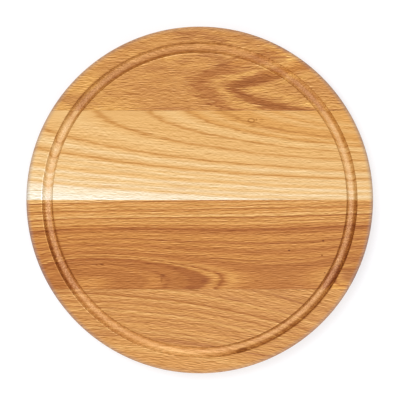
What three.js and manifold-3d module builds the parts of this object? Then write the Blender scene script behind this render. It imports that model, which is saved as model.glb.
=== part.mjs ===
// Round oak cutting board: four staves edge-glued into one panel, turned to a disc,
// its edges rounded over and a juice groove routed near the rim.
// Millimetres, +Z up. The origin is the centre of the underside, and the grain runs along X.
import * as THREE from "three";
import { mergeVertices } from "three/addons/utils/BufferGeometryUtils.js";
import Module from "manifold-3d";

const wasm = await Module();
wasm.setup();

// Driving dimensions
const boardDiameter = 300;
const boardThickness = 20;
const edgeRadius = 2.5; // round-over on the top and bottom edges
const staveWidth = 77; // width of each middle stave, from one glue line to the next
const glueThickness = 0.15; // cured glue film between two staves
const rimWidth = 13.8; // flat margin between the groove and the edge of the board
const grooveBitRadius = 4.75; // round-nosed cutter that routs the groove
const grooveDepth = 3.5;

// Fineness of the facets
const turnSteps = 96; // round the board
const edgeArcSteps = 3; // half the steps in one rounded edge
const grooveArcSteps = 6; // half the steps across the groove
const cutMargin = 5; // how far a cutting solid runs past what it cuts

// Sizes that follow from the dimensions above
const boardRadius = boardDiameter / 2;
const noseDepth = Math.min(grooveDepth, grooveBitRadius);
const grooveHalfWidth = Math.sqrt(noseDepth * (2 * grooveBitRadius - noseDepth));
const grooveRadius = boardRadius - rimWidth - grooveHalfWidth;
const noseCentreZ = boardThickness - grooveDepth + grooveBitRadius;
const seamStep = staveWidth + glueThickness;
const seams = [
  { name: "back_glue_line", y: seamStep },
  { name: "centre_glue_line", y: 0 },
  { name: "front_glue_line", y: -seamStep },
];

// Staves from the back of the board to the front, each with its own shade of oak
const staves = [
  { name: "back_stave", colour: 0xc98b52 },
  { name: "back_middle_stave", colour: 0xecc083 },
  { name: "front_middle_stave", colour: 0xcb8a4d },
  { name: "front_stave", colour: 0xd59a5b },
];
const oakRoughness = 0.55;
const glueColour = 0xa8743a;
const glueRoughness = 0.4;

// A closed geometry as a solid, without the zero-area triangles that a turned shape has on its axis
function solidOf(geometry) {
  geometry.deleteAttribute("normal");
  geometry.deleteAttribute("uv");
  const merged = mergeVertices(geometry);
  const corners = merged.index.array;
  const kept = [];
  for (let i = 0; i < corners.length; i += 3) {
    const [a, b, c] = corners.slice(i, i + 3);
    if (a !== b && b !== c && c !== a) kept.push(a, b, c);
  }
  const vertProperties = merged.attributes.position.array;
  return new wasm.Manifold(
    new wasm.Mesh({ numProp: 3, vertProperties, triVerts: new Uint32Array(kept) }),
  );
}

function geometryOf(solid) {
  const mesh = solid.getMesh();
  const geometry = new THREE.BufferGeometry();
  geometry.setAttribute("position", new THREE.BufferAttribute(mesh.vertProperties, 3));
  geometry.setIndex(new THREE.BufferAttribute(mesh.triVerts, 1));
  geometry.computeVertexNormals();
  return geometry;
}

// A profile of radius and height, turned about the board's vertical axis
function turned(points) {
  const geometry = new THREE.LatheGeometry(points, turnSteps);
  geometry.rotateX(Math.PI / 2);
  return solidOf(geometry);
}

// The board's round outline, with a rounded edge above and below
function discSolid() {
  const flatRadius = boardRadius - edgeRadius;
  const profile = new THREE.Path();
  profile.moveTo(0, 0);
  profile.lineTo(flatRadius, 0);
  profile.absarc(flatRadius, edgeRadius, edgeRadius, -Math.PI / 2, 0);
  profile.absarc(flatRadius, boardThickness - edgeRadius, edgeRadius, 0, Math.PI / 2);
  profile.lineTo(0, boardThickness);
  return turned(profile.getPoints(edgeArcSteps));
}

// What the round-nosed cutter sweeps on its way round: its nose, and its shank above the board
function grooveSolid() {
  const shankTop = Math.max(boardThickness, noseCentreZ) + cutMargin;
  const profile = new THREE.Path();
  profile.moveTo(grooveRadius - grooveBitRadius, shankTop);
  profile.absarc(grooveRadius, noseCentreZ, grooveBitRadius, Math.PI, 2 * Math.PI);
  profile.lineTo(grooveRadius + grooveBitRadius, shankTop);
  profile.closePath();
  return turned(profile.getPoints(grooveArcSteps));
}

const turnedBoard = discSolid().subtract(grooveSolid());

// The slice of the turned board that lies between two values of Y
function slice(lowY, highY) {
  const length = boardDiameter + 2 * cutMargin;
  const height = boardThickness + 2 * cutMargin;
  const blank = new THREE.BoxGeometry(length, highY - lowY, height);
  blank.translate(0, (lowY + highY) / 2, boardThickness / 2);
  return geometryOf(turnedBoard.intersect(solidOf(blank)));
}

function piece(name, geometry, colour, roughness) {
  const material = new THREE.MeshStandardMaterial({ color: colour, roughness, metalness: 0 });
  const mesh = new THREE.Mesh(geometry, material);
  mesh.name = name;
  return mesh;
}

// Each stave fills the width between the glue lines beside it, or runs out past the board's edge
function buildStaves() {
  const group = new THREE.Group();
  staves.forEach(({ name, colour }, i) => {
    const highY = i === 0 ? boardRadius + cutMargin : seams[i - 1].y - glueThickness / 2;
    const lowY = i === seams.length ? -boardRadius - cutMargin : seams[i].y + glueThickness / 2;
    group.add(piece(name, slice(lowY, highY), colour, oakRoughness));
  });
  return group;
}

// Each glue film has the board's own section, because the panel is turned and routed after gluing
function buildGlueLines() {
  const group = new THREE.Group();
  for (const { name, y } of seams) {
    const film = slice(y - glueThickness / 2, y + glueThickness / 2);
    group.add(piece(name, film, glueColour, glueRoughness));
  }
  return group;
}

const board = new THREE.Group();
board.add(buildStaves(), buildGlueLines());

export default board;
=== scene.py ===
import math

import bmesh
import bpy
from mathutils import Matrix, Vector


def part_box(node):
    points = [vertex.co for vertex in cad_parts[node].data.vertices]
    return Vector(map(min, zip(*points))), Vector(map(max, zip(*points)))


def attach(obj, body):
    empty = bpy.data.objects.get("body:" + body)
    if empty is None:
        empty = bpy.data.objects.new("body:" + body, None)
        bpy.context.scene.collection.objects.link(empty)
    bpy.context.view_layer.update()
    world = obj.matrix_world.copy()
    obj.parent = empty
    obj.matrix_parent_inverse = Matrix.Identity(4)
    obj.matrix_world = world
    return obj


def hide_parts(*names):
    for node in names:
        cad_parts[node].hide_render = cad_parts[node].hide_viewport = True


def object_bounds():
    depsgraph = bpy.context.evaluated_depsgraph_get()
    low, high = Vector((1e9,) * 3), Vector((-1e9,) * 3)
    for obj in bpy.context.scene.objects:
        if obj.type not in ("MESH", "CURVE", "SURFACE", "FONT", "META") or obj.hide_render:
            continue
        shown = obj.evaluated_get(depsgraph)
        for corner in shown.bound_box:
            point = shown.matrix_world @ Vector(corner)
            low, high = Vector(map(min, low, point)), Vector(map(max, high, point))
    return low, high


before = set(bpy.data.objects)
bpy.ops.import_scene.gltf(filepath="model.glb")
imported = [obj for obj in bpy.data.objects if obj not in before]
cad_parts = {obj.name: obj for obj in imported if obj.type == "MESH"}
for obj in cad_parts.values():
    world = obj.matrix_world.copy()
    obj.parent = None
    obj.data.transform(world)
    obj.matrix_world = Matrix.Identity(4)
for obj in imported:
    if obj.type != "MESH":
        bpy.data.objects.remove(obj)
cadLow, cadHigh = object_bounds()
print("frame loaded:", ", ".join(sorted(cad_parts)))

mm = 0.001
boardRadius = (cadHigh.x - cadLow.x) / 2
boardThickness = cadHigh.z - cadLow.z


# Camera, straight above the board
photoView = {
    "pixels": 400,  # side of the square picture
    "boardPixels": 347.5,  # the board's width in it
    "boardCentre": (199.7, 199.95),  # where the board's middle lies in it
    "lens": 120.0,
    "sensor": 36.0,
}


def placeCamera():
    view = photoView
    metresPerPixel = 2 * boardRadius / view["boardPixels"]
    pictureWidth = metresPerPixel * view["pixels"]
    halfPicture = view["pixels"] / 2
    camera = bpy.data.cameras.new("photoCamera")
    camera.lens = view["lens"]
    camera.sensor_width = view["sensor"]
    holder = bpy.data.objects.new("photoCamera", camera)
    bpy.context.scene.collection.objects.link(holder)
    holder.location = (
        (halfPicture - view["boardCentre"][0]) * metresPerPixel,
        (view["boardCentre"][1] - halfPicture) * metresPerPixel,
        boardThickness + pictureWidth * view["lens"] / view["sensor"],
    )
    bpy.context.scene.camera = holder


placeCamera()
print("camera placed")


# Helpers for modelling
def deselectAll():
    bpy.ops.object.select_all(action="DESELECT")


def pick(piece, kind, test):
    bpy.ops.mesh.select_mode(type="FACE" if kind == "faces" else "EDGE")
    bpy.ops.mesh.select_all(action="DESELECT")
    editMesh = bmesh.from_edit_mesh(piece.data)
    for part in getattr(editMesh, kind):
        if test(part):
            part.select_set(True)
    bmesh.update_edit_mesh(piece.data)


def ringRadius(edge):
    return max(vert.co.xy.length for vert in edge.verts)


def levelAt(edge, height):
    return all(abs(vert.co.z - height) < 0.01 * mm for vert in edge.verts)


# The turned board, before it is cut into its staves
boardShape = {
    "facets": 360,
    "edgeRadius": 2.5 * mm,  # round-over, top and bottom
    "edgeSteps": 8,
    "rimWidth": 13.8 * mm,  # flat margin outside the groove
    "bitRadius": 4.75 * mm,  # round-nosed cutter
    "grooveDepth": 3.5 * mm,
    "grooveSteps": 20,
    "lipEase": 0.35 * mm,  # sanded edge of the groove
    "lipSteps": 3,
    "crease": math.radians(35),  # sharper edges than this stay sharp
}
noseLift = boardShape["bitRadius"] - boardShape["grooveDepth"]
grooveHalfAngle = math.acos(noseLift / boardShape["bitRadius"])
grooveHalfWidth = boardShape["bitRadius"] * math.sin(grooveHalfAngle)
grooveRadius = boardRadius - boardShape["rimWidth"] - grooveHalfWidth


def turnBoard():
    shape = boardShape
    deselectAll()
    bpy.ops.mesh.primitive_cylinder_add(
        vertices=shape["facets"], radius=boardRadius, depth=boardThickness,
        location=(0, 0, boardThickness / 2),
    )
    board = bpy.context.object
    bpy.ops.object.transform_apply(location=True, rotation=True, scale=True)
    bpy.ops.object.mode_set(mode="EDIT")
    # round over both rims
    pick(board, "edges", lambda edge: levelAt(edge, 0) or levelAt(edge, boardThickness))
    bpy.ops.mesh.bevel(offset=shape["edgeRadius"], segments=shape["edgeSteps"], affect="EDGES")
    # step in across the groove, down the round nose and up again
    pick(board, "faces", lambda face: face.normal.z > 0.99 and len(face.verts) == shape["facets"])
    bpy.ops.mesh.inset(thickness=shape["rimWidth"] - shape["edgeRadius"])
    for step in range(shape["grooveSteps"]):
        before, after = (
            grooveHalfAngle * (2 * i / shape["grooveSteps"] - 1) for i in (step, step + 1)
        )
        inward = shape["bitRadius"] * (math.sin(after) - math.sin(before))
        rise = shape["bitRadius"] * (math.cos(before) - math.cos(after))
        bpy.ops.mesh.inset(thickness=inward)
        bpy.ops.transform.translate(value=(0, 0, rise))
    # sand the groove's two lips
    lips = (grooveRadius - grooveHalfWidth, grooveRadius + grooveHalfWidth)
    pick(board, "edges", lambda edge: levelAt(edge, boardThickness) and any(
        abs(ringRadius(edge) - lip) < 0.1 * mm for lip in lips))
    bpy.ops.mesh.bevel(offset=shape["lipEase"], segments=shape["lipSteps"], affect="EDGES")
    bpy.ops.object.mode_set(mode="OBJECT")
    return board


# One piece of the board between two cuts across it
def cutPiece(board, name, lowY, highY):
    deselectAll()
    piece = bpy.data.objects.new(name, board.data.copy())
    bpy.context.scene.collection.objects.link(piece)
    bpy.context.view_layer.objects.active = piece
    piece.select_set(True)
    bpy.ops.object.mode_set(mode="EDIT")
    for cutY, side in ((lowY, "clear_inner"), (highY, "clear_outer")):
        if abs(cutY) < boardRadius - mm:
            bpy.ops.mesh.select_all(action="SELECT")
            bpy.ops.mesh.bisect(
                plane_co=(0, cutY, 0), plane_no=(0, 1, 0), use_fill=True, **{side: True})
    bpy.ops.mesh.select_all(action="SELECT")
    bpy.ops.mesh.normals_make_consistent(inside=False)
    bpy.ops.object.mode_set(mode="OBJECT")
    bpy.ops.object.shade_smooth_by_angle(angle=boardShape["crease"])
    modifier = piece.modifiers.new("evenNormals", "WEIGHTED_NORMAL")
    modifier.keep_sharp = True
    bpy.ops.object.modifier_apply(modifier=modifier.name)
    return piece


# Helpers for materials. A value may be a number, a colour or another node's socket
def feed(tree, value, socket):
    if isinstance(value, bpy.types.NodeSocket):
        tree.links.new(value, socket)
    elif value is not None:
        socket.default_value = value


def maths(tree, operation, *values):
    node = tree.nodes.new("ShaderNodeMath")
    node.operation = operation
    for value, socket in zip(values, node.inputs):
        feed(tree, value, socket)
    return node.outputs[0]


def easeRange(tree, value, start, end):
    node = tree.nodes.new("ShaderNodeMapRange")
    node.interpolation_type = "SMOOTHSTEP"
    feed(tree, value, node.inputs["Value"])
    feed(tree, start, node.inputs["From Min"])
    feed(tree, end, node.inputs["From Max"])
    return node.outputs["Result"]


def mixColour(tree, factor, first, second):
    node = tree.nodes.new("ShaderNodeMix")
    node.data_type = "RGBA"
    feed(tree, factor, node.inputs[0])
    feed(tree, first, node.inputs[6])
    feed(tree, second, node.inputs[7])
    return node.outputs[2]


def splitVector(tree, vector):
    node = tree.nodes.new("ShaderNodeSeparateXYZ")
    feed(tree, vector, node.inputs[0])
    return node.outputs


def joinVector(tree, x, y, z):
    node = tree.nodes.new("ShaderNodeCombineXYZ")
    for value, socket in zip((x, y, z), node.inputs):
        feed(tree, value, socket)
    return node.outputs[0]


def noise(tree, vector, size, detail=2.0, roughness=0.5):
    scale = tree.nodes.new("ShaderNodeMapping")
    feed(tree, vector, scale.inputs["Vector"])
    scale.inputs["Scale"].default_value = [1 / side for side in size]
    node = tree.nodes.new("ShaderNodeTexNoise")
    feed(tree, scale.outputs[0], node.inputs["Vector"])
    node.inputs["Scale"].default_value = 1.0
    node.inputs["Detail"].default_value = detail
    node.inputs["Roughness"].default_value = roughness
    return node.outputs[0]


def colourRamp(tree, value, stops):
    node = tree.nodes.new("ShaderNodeValToRGB")
    feed(tree, value, node.inputs[0])
    elements = node.color_ramp.elements
    while len(elements) < len(stops):
        elements.new(0.5)
    for element, (position, colour) in zip(elements, stops):
        element.position = position
        element.color = colour
    return node.outputs[0]


# Shades by distance, in as many colour ramps as they need: one ramp holds 32 stops
def colourChart(tree, distance, chart):
    rampStops = 30
    colour = None
    for begin in range(0, len(chart) - 1, rampStops - 1):
        run = chart[begin:begin + rampStops]
        first, last = run[0][0], run[-1][0]
        position = maths(tree, "DIVIDE", maths(tree, "SUBTRACT", distance, first), last - first)
        stops = [((at - first) / (last - first), tint) for at, tint in run]
        ramp = colourRamp(tree, position, stops)
        if colour is None:
            colour = ramp
        else:
            colour = mixColour(tree, maths(tree, "GREATER_THAN", distance, first), colour, ramp)
    return colour


def newGroup(name, inputs, outputs):
    tree = bpy.data.node_groups.new(name, "ShaderNodeTree")
    for label, kind in inputs:
        tree.interface.new_socket(label, in_out="INPUT", socket_type=kind)
    for label, kind in outputs:
        tree.interface.new_socket(label, in_out="OUTPUT", socket_type=kind)
    return tree, tree.nodes.new("NodeGroupInput").outputs, tree.nodes.new("NodeGroupOutput").inputs


def place(tree, group, **values):
    node = tree.nodes.new("ShaderNodeGroup")
    node.node_tree = group
    for label, value in values.items():
        feed(tree, value, node.inputs[label])
    return node.outputs


number = "NodeSocketFloat"
arrow = "NodeSocketVector"
paint = "NodeSocketColor"


# sRGB shades as the eye sees them, turned into what the wood reflects under the studio light
studioLook = {
    "gain": 1.12,  # how brightly the light shows a white surface
    "sheen": 0.009,  # what the finish adds by reflection
}


def shade(red, green, blue):
    def linear(level):
        level = level / 255
        return level / 12.92 if level <= 0.04045 else ((level + 0.055) / 1.055) ** 2.4
    seen = [linear(level) - studioLook["sheen"] for level in (red, green, blue)]
    return [max(level, 0.001) / studioLook["gain"] for level in seen] + [1.0]


# Growth rings: how far a point lies from the tree's pith, in millimetres, and the way the fibres run
ringLook = {
    "waveSize": (60, 18, 24),  # long waves of the trunk: along, across, deep
    "rippleSize": (16, 5, 8),  # short waves
    "combSize": (20, 0.9, 4),  # the teeth in which a ring's edge ends
    "riseReach": 16.0,  # how far beside the pith its rise is felt
    "followRun": 70.0,  # length in which the fibres come to follow the rings
}


def makeGrowthRings():
    tree, given, result = newGroup(
        "growthRings",
        [("Vector", arrow), ("Slant", number), ("Bow", number),
         ("Pith Across", number), ("Pith Depth", number), ("Pith Run", number),
         ("Pith Arch", number), ("Arch Centre", number), ("Arch Limit", number), ("Taper", number),
         ("Reach", number), ("Rise", number),
         ("Bend", number), ("Follow", number), ("Follow From", number), ("Core", number),
         ("Wobble", number), ("Ripple", number), ("Comb", number), ("Seed", number)],
        [("Ring", number), ("Fibre", arrow), ("Combed", arrow)],
    )
    x, y, z = splitVector(tree, given["Vector"])[:3]
    seeded = maths(tree, "ADD", z, given["Seed"])
    spot = joinVector(tree, x, y, seeded)
    # across the grain, with the bend and the waves of the trunk
    drift = maths(tree, "SUBTRACT", noise(tree, spot, ringLook["waveSize"], 2.0), 0.5)
    drift = maths(tree, "MULTIPLY", drift, given["Wobble"])
    ripple = maths(tree, "SUBTRACT", noise(tree, spot, ringLook["rippleSize"], 1.0), 0.5)
    drift = maths(tree, "MULTIPLY_ADD", ripple, given["Ripple"], drift)
    bow = maths(tree, "MULTIPLY", maths(tree, "MULTIPLY", x, x), given["Bow"])
    sweep = maths(tree, "MULTIPLY_ADD", x, given["Slant"], bow)
    straight = maths(tree, "ADD", maths(tree, "SUBTRACT", y, given["Pith Across"]), drift)
    across = maths(tree, "SUBTRACT", straight, sweep)

    def fall(distance, width):
        aside = maths(tree, "DIVIDE", distance, width)
        square = maths(tree, "MULTIPLY", aside, aside)
        return maths(tree, "EXPONENT", maths(tree, "MULTIPLY", square, -1.0))

    # the pith's own way may rise out of the straight
    rise = maths(tree, "MULTIPLY", fall(across, ringLook["riseReach"]), given["Rise"])
    across = maths(tree, "SUBTRACT", across, rise)
    share = fall(across, given["Reach"])
    below = maths(tree, "SUBTRACT", boardThickness / mm, z)

    def ringAt(along):
        fromArch = maths(tree, "SUBTRACT", along, given["Arch Centre"])
        fromArch = maths(tree, "MINIMUM", fromArch, given["Arch Limit"])
        arch = maths(tree, "MULTIPLY", fromArch, fromArch)
        arch = maths(tree, "MULTIPLY", arch, given["Pith Arch"])
        depth = maths(tree, "MULTIPLY_ADD", along, given["Pith Run"], given["Pith Depth"])
        depth = maths(tree, "SUBTRACT", maths(tree, "SUBTRACT", depth, arch), below)
        sunk = maths(tree, "MULTIPLY", maths(tree, "MULTIPLY", depth, depth), share)
        ring = maths(tree, "SQRT", maths(tree, "MULTIPLY_ADD", across, across, sunk))
        return maths(tree, "MULTIPLY_ADD", along, given["Taper"], ring)

    # fibres follow the rings part of the way, straight on past the pith
    core = maths(tree, "MULTIPLY", given["Core"], given["Core"])
    side = maths(tree, "MULTIPLY_ADD", across, across, core)
    side = maths(tree, "DIVIDE", across, maths(tree, "SQRT", side))
    lean = maths(tree, "SUBTRACT", ringAt(x), maths(tree, "ABSOLUTE", across))
    lean = maths(tree, "MULTIPLY", maths(tree, "MULTIPLY", lean, side), given["Follow"])
    start = given["Follow From"]
    end = maths(tree, "ADD", start, ringLook["followRun"])
    lean = maths(tree, "MULTIPLY", lean, easeRange(tree, x, start, end))
    lean = maths(tree, "SUBTRACT", lean, maths(tree, "MULTIPLY", sweep, given["Bend"]))
    fibre = joinVector(tree, x, maths(tree, "ADD", straight, lean), seeded)
    feed(tree, fibre, result["Fibre"])
    # the rings' edges are combed out along the fibres
    comb = maths(tree, "SUBTRACT", noise(tree, fibre, ringLook["combSize"], 1.0, 0.6), 0.5)
    combed = maths(tree, "MULTIPLY_ADD", comb, given["Comb"], x)
    feed(tree, ringAt(combed), result["Ring"])
    feed(tree, joinVector(tree, combed, y, z), result["Combed"])
    return tree


# One layer of streaks along the fibres, as tone above and below zero
grainLook = {
    "lineStep": 0.86,  # millimetres from a dark line to the light one beside it
    "lineShare": 0.8,
}


def makeStreaks():
    tree, given, result = newGroup(
        "grainStreaks",
        [("Fibre", arrow), ("Length", number), ("Width", number), ("Amount", number), ("Seed", number)],
        [("Tone", number)],
    )
    x, across, z = splitVector(tree, given["Fibre"])[:3]
    along = maths(tree, "DIVIDE", x, given["Length"])
    deep = maths(tree, "DIVIDE", z, maths(tree, "MULTIPLY", given["Width"], 2.0))
    deep = maths(tree, "ADD", deep, given["Seed"])

    def grainAt(offset):
        thin = maths(tree, "DIVIDE", offset, given["Width"])
        field = noise(tree, joinVector(tree, along, thin, deep), (1, 1, 1), 1.0)
        return maths(tree, "SUBTRACT", field, 0.5)

    # a light line lies beside each dark one
    beside = grainAt(maths(tree, "ADD", across, grainLook["lineStep"]))
    grain = maths(tree, "MULTIPLY_ADD", beside, -grainLook["lineShare"], grainAt(across))
    feed(tree, maths(tree, "MULTIPLY", grain, given["Amount"]), result["Tone"])
    return tree


# Long dark hair lines, which stray, fork and fade
hairLook = {
    "halfWidth": 0.075,  # how near the middle of the noise a line begins
    "fadeSize": (24, 2.6, 6),
    "fade": (0.36, 0.62),
}


def makeHairLines():
    tree, given, result = newGroup(
        "hairLines",
        [("Fibre", arrow), ("Length", number), ("Spacing", number), ("Amount", number)],
        [("Tone", number)],
    )
    x, across, z = splitVector(tree, given["Fibre"])[:3]
    x = maths(tree, "DIVIDE", x, given["Length"])
    across = maths(tree, "DIVIDE", across, given["Spacing"])
    z = maths(tree, "DIVIDE", z, maths(tree, "MULTIPLY", given["Spacing"], 2.0))
    field = noise(tree, joinVector(tree, x, across, z), (1, 1, 1), 1.0)
    offLine = maths(tree, "ABSOLUTE", maths(tree, "SUBTRACT", field, 0.5))
    line = easeRange(tree, offLine, hairLook["halfWidth"], 0.0)
    patchy = noise(tree, given["Fibre"], hairLook["fadeSize"], 2.0)
    line = maths(tree, "MULTIPLY", line, easeRange(tree, patchy, *hairLook["fade"]))
    feed(tree, maths(tree, "MULTIPLY", line, given["Amount"]), result["Tone"])
    return tree


# Open pores: short dark dashes
poreLook = {
    "size": (6, 0.5, 0.6),
    "edge": (0.57, 0.68),
}


def makePores():
    tree, given, result = newGroup("pores", [("Fibre", arrow)], [("Mask", number)])
    dash = noise(tree, given["Fibre"], poreLook["size"], 1.0)
    feed(tree, easeRange(tree, dash, *poreLook["edge"]), result["Mask"])
    return tree


# Tone on wood: dark streaks turn browner, heartwood turns redder
toneShares = {
    # in red, green and blue
    "streak": (0.68, 1.0, 1.6),
    "heart": (0.66, 1.0, 1.0),
}


def makeToneShift():
    tree, given, result = newGroup(
        "toneShift", [("Colour", paint), ("Streak", number), ("Heart", number)], [("Colour", paint)])
    split = tree.nodes.new("ShaderNodeSeparateColor")
    feed(tree, given["Colour"], split.inputs[0])
    joined = tree.nodes.new("ShaderNodeCombineColor")
    shares = zip(toneShares["streak"], toneShares["heart"])
    for i, (streakShare, heartShare) in enumerate(shares):
        tone = maths(tree, "MULTIPLY", given["Heart"], heartShare)
        tone = maths(tree, "EXPONENT", maths(tree, "MULTIPLY_ADD", given["Streak"], streakShare, tone))
        feed(tree, maths(tree, "MULTIPLY", split.outputs[i], tone), joined.inputs[i])
    feed(tree, joined.outputs[0], result["Colour"])
    return tree


# A soft long patch of darker or lighter wood, which fades between these shares of its size
softEdge = (1.5, 0.2)


def makePatch():
    tree, given, result = newGroup(
        "grainPatch",
        [("Vector", arrow), ("Middle", arrow), ("Half Length", number), ("Half Width", number),
         ("Turn", number), ("Amount", number)],
        [("Tone", number)],
    )
    away = tree.nodes.new("ShaderNodeVectorMath")
    away.operation = "SUBTRACT"
    feed(tree, given["Vector"], away.inputs[0])
    feed(tree, given["Middle"], away.inputs[1])
    turn = tree.nodes.new("ShaderNodeVectorRotate")
    turn.rotation_type = "Z_AXIS"
    feed(tree, away.outputs[0], turn.inputs["Vector"])
    back = maths(tree, "MULTIPLY", maths(tree, "RADIANS", given["Turn"]), -1.0)
    feed(tree, back, turn.inputs["Angle"])
    x, y = splitVector(tree, turn.outputs[0])[:2]
    x = maths(tree, "DIVIDE", x, given["Half Length"])
    y = maths(tree, "DIVIDE", y, given["Half Width"])
    spread = maths(tree, "MULTIPLY_ADD", x, x, maths(tree, "MULTIPLY", y, y))
    inside = easeRange(tree, spread, *softEdge)
    feed(tree, maths(tree, "MULTIPLY", inside, given["Amount"]), result["Tone"])
    return tree


# What the router leaves in the groove, and painted light and shade on its walls and floor. Places across
# it run from -1 at the inner lip to 1 at the outer
grooveLook = {
    "upperSide": (8, 10),  # millimetres up, to leave the underside plain
    "wall": (0.02, 0.2),  # millimetres below the top
    "reach": (1.12, 1.04),
    "outerWall": (0.1, 0.85),
    "innerWall": (-0.45, -0.85),
    "innerFloor": (-0.75, -0.2),
    "outerFloor": (0.6, 0.0),
    "blotchSize": (6, 1.2, 3),
    "blotchEdge": (0.25, 0.65),
    "blotchShare": (0.8, 0.55),  # what it adds, and what is always there
    "tornFrom": (0.2, 0.8),  # how squarely the groove crosses the grain
    "tornShare": (0.75, 0.25),
    "speckleSize": (0.9, 0.9, 0.9),
    "lip": (0.84, 0.95),
    "lipLine": -0.3,
    "dashSize": (2.2, 1.6, 1.6),
    "dashEdge": (0.35, 0.6),
    "dashShare": (1.5, 0.3),
    # painted light and shade in the groove, and burns of the cutter
    "paintedLightShadeAndBurns": [
        # degrees round from the right, half span, place across, half width, tone
        (325, 45, 0.65, 0.45, -0.45),
        (325, 45, -0.8, 0.35, -0.4),
        (122, 45, -0.72, 0.33, -0.45),
        (110, 30, -0.4, 0.35, -0.3),
        (115, 45, 0.9, 0.3, -0.35),
        (315, 40, 1.0, 0.2, -0.3),
        (197, 16, -0.95, 0.35, -0.3),
        (196, 12, 0.7, 0.35, -0.3),
        (45, 25, 0.6, 0.4, -0.28),
        (205, 60, 0.99, 0.18, 0.4),
        (85, 35, -1.08, 0.16, 0.3),
        (345, 20, 0.3, 0.3, -0.12),
        (285.5, 2.2, 0.75, 0.45, -0.8),
        (208, 14, 0.75, 0.3, -0.25),
        (135, 14, 0.55, 0.5, -0.3),
        (15, 14, 0.6, 0.5, -0.12),
        (112, 16, -1.1, 0.13, 0.15),
        (294, 24, -1.1, 0.14, 0.17),
        (47, 20, -0.1, 0.5, -0.12),
        (262, 18, 0.4, 0.9, 0.14),
        (225, 9, 0.5, 0.5, -0.12),
        (180, 8, -0.75, 0.3, -0.12),
        (333, 16, 1.12, 0.15, 0.1),
        (335, 18, -0.35, 0.3, 0.1),
    ],
}

# Painted shade and sheen on the rounded edges, and the end grain that drinks the oil
edgeShadeSheenAndEndGrain = {
    "shade": (160, 146, 142),
    "share": 0.5,
    "height": (2.8, 1.6),  # millimetres from the nearer face
    "radius": (145.5, 149.6),
    "crossShare": (0.6, 0.4),
    "endGrainFrom": (145, 149),
    "endGrainPower": 1.5,
}


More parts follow.
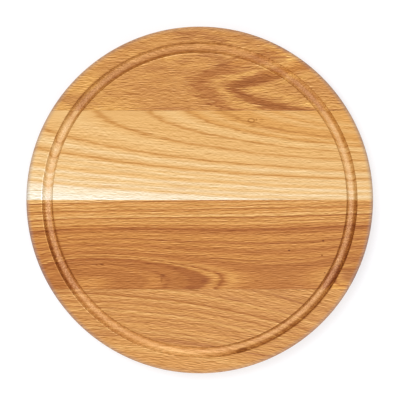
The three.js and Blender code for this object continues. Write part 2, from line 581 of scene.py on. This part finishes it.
def makeCutShade():
    tree, given, result = newGroup(
        "cutShade",
        [("Vector", arrow), ("Normal", arrow), ("Outer Burn And Painted Shade", number), ("Inner Burn And Painted Shade", number),
         ("Painted Floor Highlight", number)],
        [("Tone", number), ("Torn", number), ("Floor", number), ("Speckle", number),
         ("End Grain", number), ("Edge", number)],
    )
    x, y, z = splitVector(tree, given["Vector"])[:3]
    look = grooveLook
    radius = maths(tree, "SQRT", maths(tree, "MULTIPLY_ADD", x, x, maths(tree, "MULTIPLY", y, y)))
    across = maths(tree, "SUBTRACT", radius, grooveRadius / mm)
    across = maths(tree, "DIVIDE", across, grooveHalfWidth / mm)
    offMiddle = maths(tree, "ABSOLUTE", across)
    top = boardThickness / mm
    upper = easeRange(tree, z, *look["upperSide"])
    inGroove = easeRange(tree, z, *(top - drop for drop in look["wall"]))
    inGroove = maths(tree, "MULTIPLY", inGroove, upper)
    inGroove = maths(tree, "MULTIPLY", inGroove, easeRange(tree, offMiddle, *look["reach"]))

    # a mark by its place round the board and across the groove; most marks are painted light and shade,
    # a few are burns of the cutter
    def lightShadeAndBurnMark(degrees, halfSpan, offset, halfOffset, amount):
        eastShare = math.cos(math.radians(degrees))
        northShare = math.sin(math.radians(degrees))
        facing = maths(tree, "MULTIPLY_ADD", x, eastShare, maths(tree, "MULTIPLY", y, northShare))
        away = maths(tree, "SUBTRACT", 1.0, maths(tree, "DIVIDE", facing, radius))
        away = maths(tree, "DIVIDE", away, 1 - math.cos(math.radians(halfSpan)))
        aside = maths(tree, "DIVIDE", maths(tree, "SUBTRACT", across, offset), halfOffset)
        spread = maths(tree, "MULTIPLY_ADD", aside, aside, away)
        return maths(tree, "MULTIPLY", easeRange(tree, spread, *softEdge), amount)

    # walls darkened in blotches, partly burn and partly painted shade; a negative amount paints light on
    # them
    blotch = noise(tree, given["Vector"], look["blotchSize"], 3.0)
    blotch = easeRange(tree, blotch, *look["blotchEdge"])
    blotch = maths(tree, "MULTIPLY_ADD", blotch, *look["blotchShare"])
    outer = maths(tree, "MULTIPLY", easeRange(tree, across, *look["outerWall"]), given["Outer Burn And Painted Shade"])
    inner = maths(tree, "MULTIPLY", easeRange(tree, across, *look["innerWall"]), given["Inner Burn And Painted Shade"])
    burnAndShade = maths(tree, "MULTIPLY", maths(tree, "ADD", outer, inner), blotch)
    floor = easeRange(tree, across, *look["innerFloor"])
    floor = maths(tree, "MULTIPLY", floor, easeRange(tree, across, *look["outerFloor"]))
    # fibres tear where the groove runs across the grain
    crossing = maths(tree, "DIVIDE", maths(tree, "ABSOLUTE", x), radius)
    torn = easeRange(tree, crossing, *look["tornFrom"])
    torn = maths(tree, "MULTIPLY_ADD", torn, *look["tornShare"])
    torn = maths(tree, "MULTIPLY", torn, inGroove)
    feed(tree, torn, result["Torn"])
    feed(tree, maths(tree, "MULTIPLY", floor, torn), result["Floor"])
    speckle = noise(tree, given["Vector"], look["speckleSize"], 2.0, 0.6)
    speckle = maths(tree, "SUBTRACT", speckle, 0.5)
    feed(tree, maths(tree, "MULTIPLY", speckle, torn), result["Speckle"])
    # painted highlight on the groove's floor, less the burn and painted shade on its walls
    tone = maths(tree, "SUBTRACT", maths(tree, "MULTIPLY", floor, given["Painted Floor Highlight"]), burnAndShade)
    # a broken dark line at each lip
    dashes = noise(tree, given["Vector"], look["dashSize"], 1.0)
    dashes = easeRange(tree, dashes, *look["dashEdge"])
    dashes = maths(tree, "MULTIPLY_ADD", dashes, *look["dashShare"])
    lip = maths(tree, "MULTIPLY", easeRange(tree, offMiddle, *look["lip"]), dashes)
    tone = maths(tree, "MULTIPLY_ADD", lip, look["lipLine"], tone)
    tone = maths(tree, "MULTIPLY", tone, inGroove)
    paintedLightShadeAndBurns = 0.0
    for values in look["paintedLightShadeAndBurns"]:
        paintedLightShadeAndBurns = maths(tree, "ADD", lightShadeAndBurnMark(*values), paintedLightShadeAndBurns)
    paintedLightShadeAndBurns = maths(tree, "MULTIPLY", maths(tree, "MULTIPLY", paintedLightShadeAndBurns, blotch), upper)
    feed(tree, maths(tree, "ADD", tone, paintedLightShadeAndBurns), result["Tone"])
    facing = maths(tree, "ABSOLUTE", splitVector(tree, given["Normal"])[0])
    endGrain = maths(tree, "POWER", facing, edgeShadeSheenAndEndGrain["endGrainPower"])
    outside = easeRange(tree, radius, *edgeShadeSheenAndEndGrain["endGrainFrom"])
    feed(tree, maths(tree, "MULTIPLY", endGrain, outside), result["End Grain"])
    # painted shade and sheen on the rounded top and bottom edges, most where the edge runs across the
    # grain
    fromMiddle = maths(tree, "ABSOLUTE", maths(tree, "SUBTRACT", z, top / 2))
    edge = easeRange(tree, maths(tree, "SUBTRACT", top / 2, fromMiddle), *edgeShadeSheenAndEndGrain["height"])
    edge = maths(tree, "MULTIPLY", edge, easeRange(tree, radius, *edgeShadeSheenAndEndGrain["radius"]))
    edgeShadeSpread = maths(tree, "MULTIPLY_ADD", crossing, *edgeShadeSheenAndEndGrain["crossShare"])
    edge = maths(tree, "MULTIPLY", edge, edgeShadeSpread)
    feed(tree, edge, result["Edge"])
    return tree


groups = {
    "rings": makeGrowthRings(),
    "streaks": makeStreaks(),
    "hairs": makeHairLines(),
    "pores": makePores(),
    "tone": makeToneShift(),
    "patch": makePatch(),
    "cuts": makeCutShade(),
}
print("shader groups built")


# What all four staves share: the play of the grain and the oil finish
oakLook = {
    "layerSeed": 7.3,  # keeps one layer of streaks off the next
    "brightShare": 0.6,  # light streaks show less than dark ones
    "blotchSize": (22, 4, 7),
    "tornGrain": -0.5,  # less grain where fibres are torn
    "endGrain": -0.25,
    "roughness": 0.46,
    "poreRoughness": 0.2,
    "specular": 0.3,
    "bump": 0.25,
    "bumpDepth": 0.05 * mm,
}


def oakMaterial(stave):
    material = bpy.data.materials.new(stave["slot"])
    material.use_nodes = True
    tree = material.node_tree
    shader = tree.nodes["Principled BSDF"]
    coords = tree.nodes.new("ShaderNodeTexCoord")
    toMillimetres = tree.nodes.new("ShaderNodeMapping")
    toMillimetres.inputs["Scale"].default_value = [1 / mm] * 3
    tree.links.new(coords.outputs["Object"], toMillimetres.inputs["Vector"])
    spot = toMillimetres.outputs[0]
    rings = place(tree, groups["rings"], Vector=spot, Seed=stave["seed"], **stave["rings"])
    # annual rings, from the chart of ring distance and shade
    chart = [(ring, shade(*stave["shades"][name])) for ring, name in stave["chart"]]
    colour = colourChart(tree, rings["Ring"], chart)
    # streaks, in layers
    length, spacing, amount = stave["hairs"]
    streak = place(tree, groups["hairs"], **{
        "Fibre": rings["Fibre"], "Length": length, "Spacing": spacing, "Amount": amount})["Tone"]
    for i, (length, width, amount) in enumerate(stave["streaks"]):
        layer = place(tree, groups["streaks"], **{
            "Fibre": rings["Fibre"], "Length": length, "Width": width, "Amount": amount,
            "Seed": oakLook["layerSeed"] * i})
        streak = maths(tree, "ADD", streak, layer["Tone"])
    pores = place(tree, groups["pores"], Fibre=rings["Fibre"])["Mask"]
    streak = maths(tree, "MULTIPLY_ADD", pores, stave["pores"], streak)
    bright = maths(tree, "MULTIPLY", streak, oakLook["brightShare"])
    streak = maths(tree, "ADD", maths(tree, "MINIMUM", streak, bright), stave["lift"])
    # patches of darker and lighter wood
    heart = maths(tree, "SUBTRACT", noise(tree, rings["Fibre"], oakLook["blotchSize"], 2.0), 0.5)
    heart = maths(tree, "MULTIPLY", heart, stave["blotches"])
    for x, y, halfLength, halfWidth, turn, amount in stave["patches"]:
        patch = place(tree, groups["patch"], **{
            "Vector": rings["Combed"], "Middle": (x, y, 0), "Half Length": halfLength,
            "Half Width": halfWidth, "Turn": turn, "Amount": amount})
        heart = maths(tree, "ADD", heart, patch["Tone"])
    for x, y, halfLength, halfWidth, amount in stave["specks"]:
        speck = place(tree, groups["patch"], **{
            "Vector": spot, "Middle": (x, y, 0), "Half Length": halfLength,
            "Half Width": halfWidth, "Turn": 0.0, "Amount": amount})
        streak = maths(tree, "ADD", streak, speck["Tone"])
    # the groove with its burns and painted light and shade, the end grain, and painted shade and sheen
    # on the rounded edge
    cuts = place(tree, groups["cuts"], **{
        "Vector": spot, "Normal": coords.outputs["Normal"], "Outer Burn And Painted Shade": stave["outerBurnAndPaintedShade"],
        "Inner Burn And Painted Shade": stave["innerBurnAndPaintedShade"], "Painted Floor Highlight": stave["paintedFloorHighlight"]})
    whole = maths(tree, "MULTIPLY_ADD", cuts["Torn"], oakLook["tornGrain"], 1.0)
    streak = maths(tree, "MULTIPLY", streak, whole)
    # the groove's burns and painted light and shade join the streaks' tone
    streak = maths(tree, "ADD", streak, cuts["Tone"])
    heart = maths(tree, "MULTIPLY_ADD", cuts["End Grain"], oakLook["endGrain"], heart)
    colour = place(tree, groups["tone"], Colour=colour, Streak=streak, Heart=heart)["Colour"]
    floorShade, floorShare, speckle = stave["grooveFloor"]
    floor = maths(tree, "MULTIPLY", cuts["Floor"], floorShare)
    colour = mixColour(tree, floor, colour, shade(*floorShade))
    speckle = maths(tree, "MULTIPLY", cuts["Speckle"], speckle)
    colour = place(tree, groups["tone"], Colour=colour, Streak=speckle)["Colour"]
    # painted shade and sheen on the rounded edges
    edgeShadeShare = maths(tree, "MULTIPLY", cuts["Edge"], edgeShadeSheenAndEndGrain["share"])
    colour = mixColour(tree, edgeShadeShare, colour, shade(*edgeShadeSheenAndEndGrain["shade"]))
    tree.links.new(colour, shader.inputs["Base Color"])
    # satin oil finish, a little duller in the pores
    dull = maths(tree, "MULTIPLY_ADD", pores, oakLook["poreRoughness"], oakLook["roughness"])
    tree.links.new(dull, shader.inputs["Roughness"])
    shader.inputs["Specular IOR Level"].default_value = oakLook["specular"]
    bump = tree.nodes.new("ShaderNodeBump")
    bump.inputs["Strength"].default_value = oakLook["bump"]
    bump.inputs["Distance"].default_value = oakLook["bumpDepth"]
    tree.links.new(maths(tree, "SUBTRACT", streak, pores), bump.inputs["Height"])
    tree.links.new(bump.outputs["Normal"], shader.inputs["Normal"])
    return material


# Back stave: brown oak with nested flames
backStave = {
    "node": "back_stave",
    "slot": "brown_oak",
    "seed": 11.0,
    "lift": 0.042,  # makes up for what the dark streaks take away
    "streaks": [(9, 0.6, 1.9), (3, 0.55, 1.5)],  # length, width and tone of each layer
    "hairs": (26, 2.4, -0.15),  # length, spacing and tone
    "pores": -0.4,
    "blotches": 0.6,
    # groove: burns and painted light and shade on its walls, painted highlight on its floor
    "outerBurnAndPaintedShade": -0.3,
    "innerBurnAndPaintedShade": 0.0,
    "paintedFloorHighlight": 0.15,
    "grooveFloor": ((196, 138, 100), 0.55, 2.2),  # torn fibres: shade, share and speckle
    "rings": {
        "Slant": -0.132, "Bow": 0.001, "Pith Across": 99.0, "Pith Depth": -9.0, "Pith Run": 0.17,
        "Pith Arch": -0.0005, "Arch Centre": -38.0, "Arch Limit": 400.0, "Taper": -0.38,
        "Reach": 375.0, "Rise": 0.0, "Bend": 0.1, "Follow": 0.12, "Follow From": -60.0,
        "Core": 14.0, "Wobble": 3.0, "Ripple": 0.6, "Comb": 44.0,
    },
    "shades": {
        "dark": (166, 100, 51),
        "brown": (188, 122, 66),
        "tan": (210, 148, 83),
        "light": (224, 165, 92),
    },
    "chart": [
        (-30, "tan"), (-18, "tan"), (-16, "light"), (-14, "tan"), (-12.6, "brown"),
        (-11.6, "dark"), (-7.5, "dark"), (-6, "brown"), (-4.8, "brown"), (-4, "tan"),
        (-2.8, "light"), (-0.8, "light"), (0.6, "tan"), (3, "tan"), (4.5, "brown"), (10, "brown"),
        (11.2, "dark"), (12.6, "brown"), (14, "tan"), (50, "tan"), (66, "light"), (85, "light"),
    ],
    "patches": [
        # millimetres along and across from the board's middle, half length and half width,
        # then the turn in degrees and the tone
        (-11.4, 142, 7.8, 5.2, 0, -0.35),
        (12.8, 140.3, 17, 3.5, -22, -0.33),
        (45.5, 134.3, 14, 3.5, -38, -0.15),
        (-64.5, 133.6, 14, 5, 35, -0.18),
        (82, 114, 20, 5.5, 14, 0.62),
        (62, 107, 10, 4, 18, 0.28),
        (18, 116.5, 9, 6, 15, -0.16),
        (17.5, 120.5, 6, 6, 0, -0.16),
        (6, 125, 9, 2, 0, -0.4),
        (38, 119.3, 8, 3.5, 0, 0.42),
        (-38, 114, 10, 3, 5, -0.22),
        (-12.5, 120.7, 7, 3, 0, -0.24),
        (-26, 122, 6, 2.5, 0, 0.26),
        (29, 138.5, 7, 4, 0, 0.2),
        (35.2, 82.5, 21, 2.6, -8, 0.1),
        (-29.5, 79.1, 30, 1, 0, -0.2),
        (97, 82, 10, 4, 0, 0.18),
        (57, 125, 12, 4.5, 10, 0.14),
        (71, 127.8, 14, 3.5, -29, 0.55),
        (-107, 86, 18, 7, -12, -0.36),
        (-82, 91, 9, 5, 0, -0.2),
    ],
    "specks": [],
}

# Back middle stave: pale oak, sapwood along its front edge
backMiddleStave = {
    "node": "back_middle_stave",
    "slot": "pale_oak",
    "seed": 47.0,
    "lift": 0.03,
    "streaks": [(4, 0.55, 0.85), (24, 0.6, 0.95)],
    "hairs": (40, 2.0, -0.12),
    "pores": -0.15,
    "blotches": 0.12,
    # groove: burns and painted light and shade on its walls, painted highlight on its floor
    "outerBurnAndPaintedShade": 0.22,
    "innerBurnAndPaintedShade": 0.05,
    "paintedFloorHighlight": 0.18,
    "grooveFloor": ((234, 188, 142), 0.4, 1.1),
    "rings": {
        "Slant": 0.039, "Bow": 0.00002, "Pith Across": 86.0, "Pith Depth": 49.5,
        "Pith Run": -0.163, "Pith Arch": 0.00012, "Arch Centre": 22.0, "Arch Limit": 400.0,
        "Taper": 0.0, "Reach": 4000.0, "Rise": 0.0, "Bend": 1.0, "Follow": 0.8,
        "Follow From": -300.0, "Core": 10.0, "Wobble": 1.6, "Ripple": 1.0, "Comb": 15.0,
    },
    "shades": {
        "line": (203, 141, 72),
        "ochre": (217, 157, 87),
        "gold": (225, 165, 92),
        "straw": (233, 181, 113),
        "pale": (239, 193, 129),
        "sap": (243, 204, 147),
        "cream": (248, 217, 170),
        "milk": (252, 231, 196),
        "white": (254, 243, 219),
    },
    "chart": [
        (36, "gold"), (38.5, "straw"), (40.5, "gold"), (42.2, "straw"), (44, "gold"),
        (46.4, "gold"), (47.3, "line"), (48.2, "gold"), (49.6, "straw"), (51.2, "gold"),
        (51.8, "line"), (52.4, "straw"), (54, "pale"), (56, "straw"), (56.6, "line"),
        (57.3, "straw"), (59, "straw"), (62, "straw"), (62.8, "line"), (63.6, "straw"),
        (66, "pale"), (70.5, "straw"), (71.2, "line"), (71.9, "straw"), (74.3, "sap"),
        (77.1, "straw"), (77.9, "line"), (78.6, "straw"), (80.2, "sap"), (81.4, "pale"),
        (83, "sap"), (84.3, "pale"), (85, "straw"), (86.2, "pale"), (87.6, "cream"), (89, "sap"),
        (90, "pale"), (91.2, "sap"), (92.4, "cream"), (94.8, "pale"), (97, "milk"),
        (99.3, "milk"), (102.5, "white"), (104, "white"),
    ],
    "patches": [
        (62.7, 60.8, 15, 2.2, -8, -0.1),
        (-14.9, 10.3, 6.5, 1.5, 0, -0.12),
        (-81.7, 12, 9, 1.5, 0, -0.12),
    ],
    "specks": [
        # the pin knot: its rim, its light middle and its tail, then the fibres that part round it
        (44.5, 68.6, 3.3, 2, -0.9),
        (44.5, 68.6, 2.3, 1.3, 1.0),
        (49, 69.3, 0.9, 1.1, -0.45),
        (53.4, 69.4, 2.2, 0.8, -0.35),
        (45.5, 63.6, 3.5, 1, -0.3),
        (32.5, 70.8, 2.4, 1, -0.25),
        (32.3, 59.9, 3, 0.8, -0.3),
        (39.2, 57.8, 3, 0.8, -0.25),
    ],
}

# Front middle stave: honey oak, tight straight rings behind and a closed eye in front
frontMiddleStave = {
    "node": "front_middle_stave",
    "slot": "honey_oak",
    "seed": 83.0,
    "lift": 0.055,
    "streaks": [(26, 0.6, 1.9), (6, 0.55, 1.9)],
    "hairs": (70, 1.6, -0.25),
    "pores": -0.35,
    "blotches": 0.15,
    # groove: burns and painted light and shade on its walls, painted highlight on its floor
    "outerBurnAndPaintedShade": 0.45,
    "innerBurnAndPaintedShade": 0.12,
    "paintedFloorHighlight": 0.35,
    "grooveFloor": ((208, 151, 109), 0.55, 2.5),
    "rings": {
        "Slant": 0.0245, "Bow": 0.0, "Pith Across": -72.6, "Pith Depth": 28.5, "Pith Run": 0.0,
        "Pith Arch": 0.00108, "Arch Centre": 67.0, "Arch Limit": 55.0, "Taper": 0.0,
        "Reach": 53.0, "Rise": 3.2, "Bend": 1.0, "Follow": 0.25, "Follow From": -300.0,
        "Core": 24.0, "Wobble": 1.4, "Ripple": 0.8, "Comb": 10.0,
    },
    "shades": {
        "dark": (160, 90, 42),
        "umber": (174, 104, 52),
        "brown": (187, 118, 60),
        "honey": (197, 128, 66),
        "amber": (207, 140, 73),
        "gold": (214, 150, 81),
        "tan": (222, 161, 90),
        "pale": (230, 173, 101),
        "bright": (237, 184, 114),
    },
    "chart": [
        (0, "amber"), (3, "amber"), (8, "brown"), (12.5, "brown"), (14.4, "brown"),
        (15.4, "honey"), (17.4, "honey"), (18.3, "brown"), (18.9, "umber"), (19.5, "brown"),
        (20.2, "brown"), (21.8, "brown"), (22.6, "umber"), (23.4, "umber"), (24.4, "umber"),
        (24.8, "amber"), (25.5, "gold"), (25.8, "amber"), (26.05, "dark"), (26.35, "honey"),
        (26.9, "gold"), (27.6, "amber"), (28.2, "honey"), (29.2, "brown"), (30.6, "brown"),
        (31.3, "amber"), (31.8, "honey"), (32.1, "umber"), (32.4, "amber"), (34, "amber"),
        (35, "honey"), (36.5, "brown"), (38.4, "amber"), (40, "amber"), (41, "umber"),
        (42, "amber"), (45.8, "amber"), (46.8, "brown"), (47.6, "honey"), (48.6, "brown"),
        (49.3, "umber"), (50.2, "umber"), (50.8, "honey"), (51.6, "gold"), (52.3, "brown"),
        (53, "amber"), (54, "tan"), (55, "tan"), (55.6, "brown"), (56.3, "tan"), (57.6, "gold"),
        (58.9, "umber"), (59.6, "pale"), (60.7, "bright"), (61.9, "amber"), (63, "pale"),
        (63.9, "amber"), (64.6, "gold"), (65.4, "brown"), (66.6, "pale"), (68, "amber"),
        (69.6, "pale"), (71.1, "amber"), (71.8, "tan"), (72.5, "brown"), (73.4, "bright"),
        (75, "bright"),
    ],
    "patches": [
        # the eye: golden beyond its tip and inside it, reddish core
        (27.5, -67.5, 7, 5, 0, 0.12),
        (9.2, -64.4, 4, 2, -15, 0.1),
        (6, -70, 5.5, 3, -5, -0.26),
        (-40, -69.5, 6, 5, 0, 0.1),
        (-32, -66.5, 2.4, 2.8, -50, -0.2),
        (-4, -75.7, 16, 0.8, 2, -0.25),
        (-95, -25, 30, 2, 0, 0.12),
        # reddish rim on the right, shadow under the centre joint
        (129, -65, 8, 5, 0, -0.45),
        (122, -74.5, 10, 3, 0, 0.5),
        (0, -1.2, 140, 0.7, 0, -0.15),
    ],
    "specks": [
        (77.2, -43.6, 1.2, 0.7, -1.4),
        (106.6, -35.2, 1, 0.9, -1.0),
        (105.6, -47.8, 0.9, 0.6, -1.2),
        (108, -62.9, 0.8, 0.6, -1.2),
        (48.9, -69.9, 2, 0.7, -0.4),
        (-84.4, -55.7, 1.8, 0.7, -0.9),
        (-89, -56, 1, 0.5, -0.6),
        (-106.3, -22.6, 4.5, 0.6, -0.45),
        (-32.3, -65, 2.2, 0.8, -0.45),
        (-33, -69, 1, 2.4, -0.35),
    ],
}

# Front stave: tan oak, rings running slantwise to the edge
frontStave = {
    "node": "front_stave",
    "slot": "tan_oak",
    "seed": 129.0,
    "lift": 0.05,
    "streaks": [(13, 0.6, 1.75), (5, 0.55, 1.7)],
    "hairs": (40, 1.8, -0.2),
    "pores": -0.35,
    "blotches": 0.15,
    # groove: burns and painted light and shade on its walls, painted highlight on its floor
    "outerBurnAndPaintedShade": 0.1,
    "innerBurnAndPaintedShade": 0.05,
    "paintedFloorHighlight": 0.3,
    "grooveFloor": ((226, 168, 114), 0.5, 1.9),
    "rings": {
        "Slant": -0.168, "Bow": -0.00072, "Pith Across": -0.2, "Pith Depth": 20.0,
        "Pith Run": 0.0, "Pith Arch": 0.0, "Arch Centre": 0.0, "Arch Limit": 400.0, "Taper": 0.0,
        "Reach": 30.0, "Rise": 0.0, "Bend": 0.65, "Follow": 1.0, "Follow From": -300.0,
        "Core": 4.0, "Wobble": 1.6, "Ripple": 0.3, "Comb": 8.0,
    },
    "shades": {
        "umber": (186, 120, 62),
        "brown": (198, 134, 74),
        "tan": (211, 148, 84),
        "gold": (217, 155, 88),
        "light": (226, 168, 99),
    },
    "chart": [
        (56, "gold"), (60, "gold"), (62.8, "tan"), (64.4, "brown"), (66.3, "gold"), (68, "brown"),
        (70.5, "tan"), (73, "gold"), (76, "tan"), (79.5, "tan"), (80.7, "brown"), (81.6, "gold"),
        (82.9, "light"), (84.3, "gold"), (86, "tan"), (88.8, "tan"), (89.8, "umber"),
        (90.6, "umber"), (91.5, "gold"), (92.3, "light"), (93.5, "tan"), (95.8, "tan"),
        (96.7, "umber"), (97.6, "tan"), (98.5, "gold"), (100.5, "gold"), (102, "brown"),
        (104, "light"), (105.5, "gold"), (107.2, "brown"), (108.6, "gold"), (110.4, "tan"),
        (112.2, "brown"), (113.6, "gold"), (116.8, "gold"), (117.9, "brown"), (119.3, "light"),
        (121.4, "brown"), (122.4, "gold"), (124.5, "tan"), (131, "gold"), (135, "light"),
        (139, "gold"), (150, "gold"),
    ],
    "patches": [
        (-12, -123.3, 34, 2, -7, -0.36),
        (30.6, -85.8, 9, 2, -12, -0.18),
        (76, -85.4, 17, 1, -20, -0.28),
        (73, -97.4, 13, 0.9, -11, -0.22),
        (-81.8, -115.6, 14, 2.6, -6, -0.18),
        (50, -133.3, 12, 0.8, -9, -0.65),
    ],
    "specks": [],
}

# Cured glue in the three joints
glueLines = {
    "nodes": ("back_glue_line", "centre_glue_line", "front_glue_line"),
    "slot": "wood_glue",
    "shade": (70, 38, 18),
    "clear": (170, 112, 60),
    "mottleSize": (18 * mm, 3 * mm, 3 * mm),
    "roughness": 0.35,
    "mottleRoughness": 0.15,
}


def glueMaterial():
    material = bpy.data.materials.new(glueLines["slot"])
    material.use_nodes = True
    tree = material.node_tree
    shader = tree.nodes["Principled BSDF"]
    coords = tree.nodes.new("ShaderNodeTexCoord")
    mottle = noise(tree, coords.outputs["Object"], glueLines["mottleSize"], 3.0)
    colour = mixColour(tree, mottle, shade(*glueLines["shade"]), shade(*glueLines["clear"]))
    tree.links.new(colour, shader.inputs["Base Color"])
    dull = maths(tree, "MULTIPLY_ADD", mottle, glueLines["mottleRoughness"], glueLines["roughness"])
    tree.links.new(dull, shader.inputs["Roughness"])
    return material


def dress(piece, node, material):
    piece.data.materials.clear()
    piece.data.materials.append(material)
    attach(piece, "root")
    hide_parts(node)


board = turnBoard()
for stave in (backStave, backMiddleStave, frontMiddleStave, frontStave):
    low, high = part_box(stave["node"])
    piece = cutPiece(board, stave["node"] + "_wood", low.y, high.y)
    dress(piece, stave["node"], oakMaterial(stave))
    print("stave made:", piece.name, len(piece.data.polygons), "faces")
glue = glueMaterial()
for node in glueLines["nodes"]:
    low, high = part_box(node)
    piece = cutPiece(board, node + "_film", low.y, high.y)
    dress(piece, node, glue)
    print("glue line made:", piece.name, len(piece.data.polygons), "faces")
bpy.data.objects.remove(board)


# Studio: pale floor, soft sky, a wide panel in front and a small light from the back left
studio = {
    "floorSide": 6.0,
    "floorShade": (0.515, 0.53, 0.56, 1.0),
    "floorGlow": 0.51,
    "floorRoughness": 0.9,
    "skyStrength": 0.62,
    "lights": (
        # name, width, watts, where it stands, whether it lights the wood, whether the finish reflects it
        ("frontPanel", 1.2, 6.0, (0.5, -0.9, 1.1), True, True),
        ("backLight", 1.0, 12.0, (-0.5, 0.5, 1.5), True, False),
        ("sideGlow", 0.5, 2.0, (0.5, -0.45, 1.2), False, True),
    ),
}


def setStudio():
    deselectAll()
    bpy.ops.mesh.primitive_plane_add(size=studio["floorSide"], location=(0, 0, 0))
    floor = bpy.context.object
    floor.name = "studio_floor"
    material = bpy.data.materials.new("paleFloor")
    material.use_nodes = True
    shader = material.node_tree.nodes["Principled BSDF"]
    shader.inputs["Base Color"].default_value = studio["floorShade"]
    shader.inputs["Roughness"].default_value = studio["floorRoughness"]
    shader.inputs["Specular IOR Level"].default_value = 0.0
    shader.inputs["Emission Color"].default_value = (1, 1, 1, 1)
    shader.inputs["Emission Strength"].default_value = studio["floorGlow"]
    floor.data.materials.append(material)
    world = bpy.data.worlds.new("softSky")
    bpy.context.scene.world = world
    world.use_nodes = True
    sky = world.node_tree.nodes["Background"]
    sky.inputs["Color"].default_value = (1, 1, 1, 1)
    sky.inputs["Strength"].default_value = studio["skyStrength"]
    for name, width, watts, stand, lighting, reflected in studio["lights"]:
        lamp = bpy.data.lights.new(name, "AREA")
        lamp.shape = "DISK"
        lamp.size = width
        lamp.energy = watts
        light = bpy.data.objects.new(name, lamp)
        bpy.context.scene.collection.objects.link(light)
        light.location = stand
        light.visible_diffuse = lighting
        light.visible_glossy = reflected
        light.rotation_euler = (-light.location).to_track_quat("-Z", "Y").to_euler()
    bpy.context.scene.view_settings.view_transform = "Standard"


setStudio()
print("studio set")
